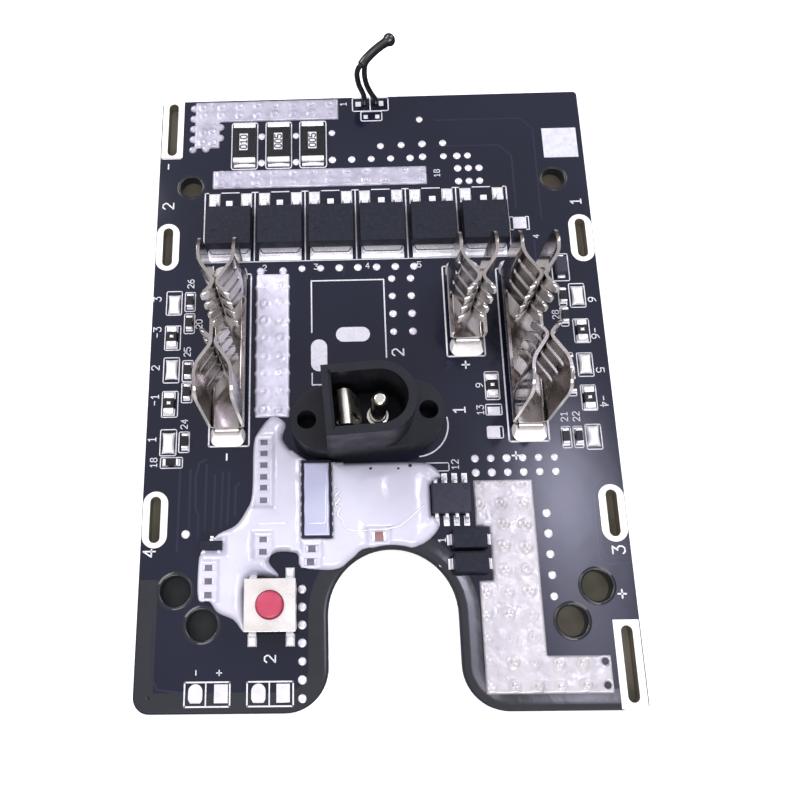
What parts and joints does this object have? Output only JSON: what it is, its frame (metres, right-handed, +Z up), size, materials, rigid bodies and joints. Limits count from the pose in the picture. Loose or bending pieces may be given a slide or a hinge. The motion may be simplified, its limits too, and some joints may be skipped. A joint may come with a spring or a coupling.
{
  "type": "battery management board",
  "caption": "Battery management circuit board for a power tool pack, with spring blade terminals, a barrel charging jack, power transistors, a push switch and a U-shaped notch",
  "frame": {"origin": "centre of the board's underside, at the middle of its width and length; the terminal tails reach 1 mm lower", "axes": "+X across the board to the side of the plus and charge terminals, +Y along the board to the back edge with the temperature sensor, +Z up from the component side"},
  "size_m": [0.061, 0.0902, 0.0176],
  "materials": {
    "solder_mask": "glossy blue-black solder mask over glass-epoxy laminate",
    "tinned_copper": "hot-dipped solder, rippled",
    "terminal_metal": "tin-plated copper alloy strip, bright",
    "black_moulding": "black heat-resistant nylon",
    "nickel_plate": "bright nickel plate",
    "rose_button": "rose red moulding",
    "silicone": "milky soft silicone, glossy",
    "sensor_epoxy": "black epoxy",
    "wire_sleeve": "black enamelled leads",
    "ceramic": "brown ceramic",
    "grey_moulding": "grey epoxy moulding",
    "resistor_glaze": "black glaze over alumina",
    "tinned_leads": "tinned leads",
    "chip_moulding": "black epoxy moulding"
  },
  "bodies": {
    "circuit_board": {"board": "solder_mask", "slot_lands": "tinned_copper", "solder_pads": "tinned_copper", "via_caps": "tinned_copper", "strip_back_corner": "tinned_copper", "strip_shunts": "tinned_copper", "strip_left": "tinned_copper", "strip_output": "tinned_copper", "transistor_body_1": "chip_moulding", "transistor_body_2": "chip_moulding", "transistor_body_3": "chip_moulding", "transistor_body_4": "chip_moulding", "transistor_body_5": "chip_moulding", "transistor_body_6": "chip_moulding", "transistor_leads_1": "tinned_leads", "transistor_leads_2": "tinned_leads", "transistor_leads_3": "tinned_leads", "transistor_leads_4": "tinned_leads", "transistor_leads_5": "tinned_leads", "transistor_leads_6": "tinned_leads", "shunt_body_1": "resistor_glaze", "shunt_body_2": "resistor_glaze", "shunt_body_3": "resistor_glaze", "shunt_ends": "tinned_leads", "terminal_minus": "terminal_metal", "terminal_plus": "terminal_metal", "terminal_charge": "terminal_metal", "terminal_solder": "tinned_copper", "jack_housing": "black_moulding", "jack_pin": "nickel_plate", "jack_contact": "nickel_plate", "switch_base": "black_moulding", "switch_dome": "nickel_plate", "switch_cover": "nickel_plate", "switch_legs": "nickel_plate", "controller_body": "chip_moulding", "controller_leads": "tinned_leads", "protector_body": "chip_moulding", "protector_leads": "tinned_leads", "diode_body_1": "chip_moulding", "diode_body_2": "chip_moulding", "diode_leads": "tinned_leads", "driver_body": "chip_moulding", "driver_leads": "tinned_leads", "clamp_diode_body": "grey_moulding", "clamp_diode_ends": "tinned_leads", "balance_resistors": "resistor_glaze", "balance_resistor_ends": "tinned_leads", "balance_links": "tinned_copper", "small_resistors": "resistor_glaze", "small_resistor_ends": "tinned_leads", "potted_resistors": "resistor_glaze", "potted_resistor_ends": "tinned_leads", "potted_capacitor": "ceramic", "potted_capacitor_ends": "tinned_leads", "potting": "silicone", "sensor_bead": "sensor_epoxy", "sensor_leads": "wire_sleeve"},
    "button": {"switch_button": "rose_button"}
  },
  "joints": [
    {"name": "button_press", "type": "slide", "parent": "circuit_board", "child": "button", "axis": [0, 0, 1], "range_m": [-0.00025, 0], "stiffness_N_per_m": 8000}
  ]
}
